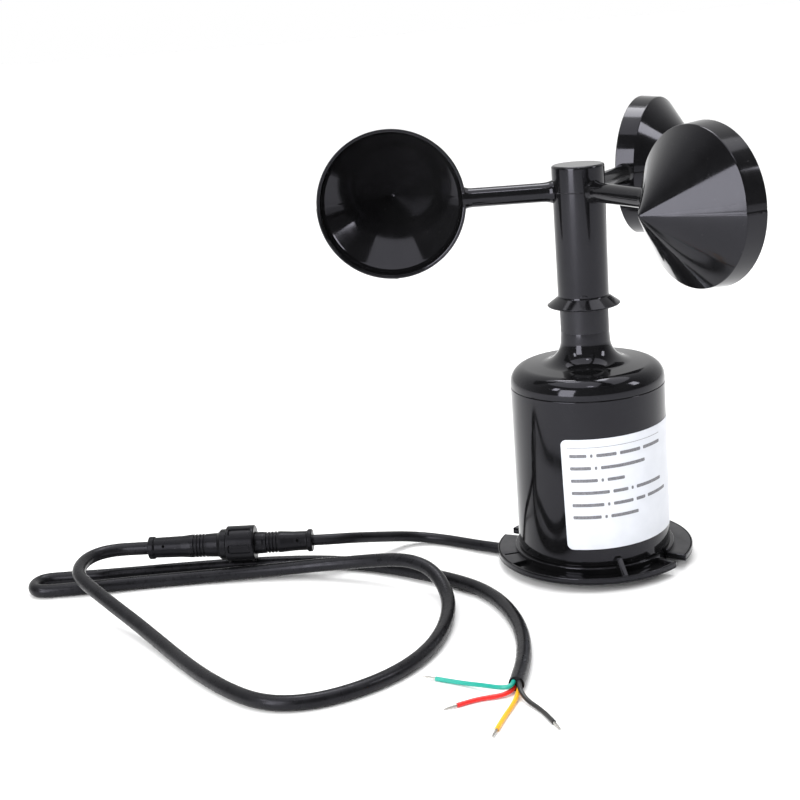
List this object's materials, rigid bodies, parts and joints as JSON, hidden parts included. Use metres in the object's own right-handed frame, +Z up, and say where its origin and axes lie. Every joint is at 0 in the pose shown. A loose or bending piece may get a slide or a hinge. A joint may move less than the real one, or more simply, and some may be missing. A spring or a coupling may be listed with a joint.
{
  "type": "cup anemometer",
  "caption": "Wind speed sensor with cone-shaped cups on a turning hub over a domed cylinder, a flanged foot, and a lead joined by a screw connector to a cable with bare ends.",
  "frame": {"origin": "centre of the flat underside of the base, on the spindle's axis", "axes": "+Z up along the spindle; +X away from the free cable; -Y the side the cable's bare ends point to"},
  "size_m": [0.3174, 0.251, 0.1907],
  "materials": {
    "bearing_steel": "polished bearing steel",
    "black_gloss": "smooth black moulded plastic with soft sharp reflections",
    "black_matte": "dark grey-black moulded plastic, satin",
    "black_satin": "fine-textured black moulded plastic",
    "board": "green lacquered glass-fibre board",
    "brass": "turned brass",
    "cable_jacket": "dark charcoal cable jacket, satin",
    "cage_steel": "pressed steel ball cage",
    "chip": "black component bodies",
    "label": "white printed film, satin",
    "magnet": "nickel-plated magnet",
    "seal_rubber": "soft black rubber",
    "steel": "bright stainless steel",
    "tinned_copper": "tinned stranded copper",
    "wire_black": "black wire insulation",
    "wire_green": "blue-green wire insulation",
    "wire_grey": "grey wire insulation",
    "wire_red": "red wire insulation",
    "wire_yellow": "yellow wire insulation"
  },
  "bodies": {
    "base": {"base_cap": "black_satin", "base_flange": "black_gloss", "board_chip": "chip", "board_screws": "steel", "board_small_parts": "chip", "cap_screws": "steel", "circuit_board": "board", "connector_seal": "seal_rubber", "core_black": "wire_black", "core_green": "wire_green", "core_red": "wire_red", "core_tips": "tinned_copper", "core_yellow": "wire_yellow", "cover_seal": "seal_rubber", "extension_cable": "cable_jacket", "flange_screws": "steel", "hall_sensor": "chip", "housing": "black_gloss", "inner_wires": "wire_grey", "label": "label", "lead_grommet": "seal_rubber", "lead_socket": "black_matte", "lead_tail": "cable_jacket", "lower_bearing_outer_race": "bearing_steel", "plug_body": "black_matte", "plug_pins": "brass", "sensor_lead": "cable_jacket", "socket_contacts": "brass", "top_cover": "black_gloss", "upper_bearing_outer_race": "bearing_steel"},
    "rotor": {"rotor_hub": "black_gloss", "rotor_arm_1": "black_gloss", "rotor_arm_2": "black_gloss", "rotor_arm_3": "black_gloss", "rotor_cup_1": "black_gloss", "rotor_cup_2": "black_gloss", "rotor_cup_3": "black_gloss", "hub_insert": "brass", "spindle": "steel", "spindle_clip": "steel", "magnet_holder": "black_satin", "magnets": "magnet", "lower_bearing_inner_race": "bearing_steel", "upper_bearing_inner_race": "bearing_steel"},
    "lower_ball_set": {"lower_bearing_balls": "bearing_steel", "lower_bearing_cage": "cage_steel"},
    "upper_ball_set": {"upper_bearing_balls": "bearing_steel", "upper_bearing_cage": "cage_steel"},
    "nut": {"coupling_nut": "black_matte"}
  },
  "joints": [
    {"name": "rotor_spin", "type": "hinge", "parent": "base", "child": "rotor", "pos_m": [0, 0, 0.16], "axis": [0, 0, 1], "continuous": true},
    {"name": "lower_balls_spin", "type": "hinge", "parent": "base", "child": "lower_ball_set", "pos_m": [0, 0, 0.0885], "axis": [0, 0, 1], "continuous": true},
    {"name": "upper_balls_spin", "type": "hinge", "parent": "base", "child": "upper_ball_set", "pos_m": [0, 0, 0.144], "axis": [0, 0, 1], "continuous": true},
    {"name": "nut_turn", "type": "hinge", "parent": "base", "child": "nut", "pos_m": [-0.1542, 0.00965, 0.0146], "axis": [-0.9967, 0.0808, 0], "range_deg": [-990, 0]}
  ],
  "couplings": [
    {"joint": "lower_balls_spin", "follows": "rotor_spin", "ratio": 0.4012},
    {"joint": "upper_balls_spin", "follows": "rotor_spin", "ratio": 0.4012}
  ]
}
